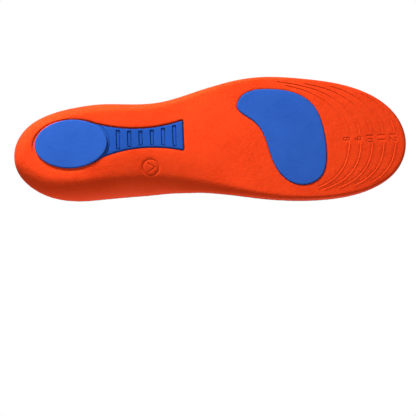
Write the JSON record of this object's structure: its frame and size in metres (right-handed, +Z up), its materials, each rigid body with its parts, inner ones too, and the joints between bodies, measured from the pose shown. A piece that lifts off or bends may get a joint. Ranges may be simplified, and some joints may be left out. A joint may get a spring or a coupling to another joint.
{
  "type": "cushioned insole",
  "caption": "Full-length cushioned insole with a deep heel cup, raised arch, textile top, shaped foam body, ribbed arch shank and soft heel and forefoot pads.",
  "frame": {"origin": "centre of the insole's box in plan, on the ground plane that the heel and forefoot pads stand on", "axes": "+X towards the heel, -X towards the toes, +Y towards the lateral side and -Y towards the medial (arch) side of a right foot, +Z up out of the foot side"},
  "size_m": [0.2901, 0.0951, 0.0271],
  "materials": {
    "cover_textile": "knitted textile with raised puffy cells over a dark ground",
    "orange_foam": "matte moulded polyurethane foam skin with a fine grain",
    "blue_gel": "satin soft elastomer",
    "blue_shank": "matte flexible moulded plastic",
    "adhesive": "thin translucent hot-melt adhesive"
  },
  "bodies": {
    "root": {"top_cover": "cover_textile", "cover_bond_film": "adhesive", "foam_body": "orange_foam", "arch_shank": "blue_shank", "shank_bond": "adhesive", "heel_pad": "blue_gel", "heel_pad_bond": "adhesive", "forefoot_pad": "blue_gel", "forefoot_pad_bond": "adhesive"}
  },
  "joints": []
}
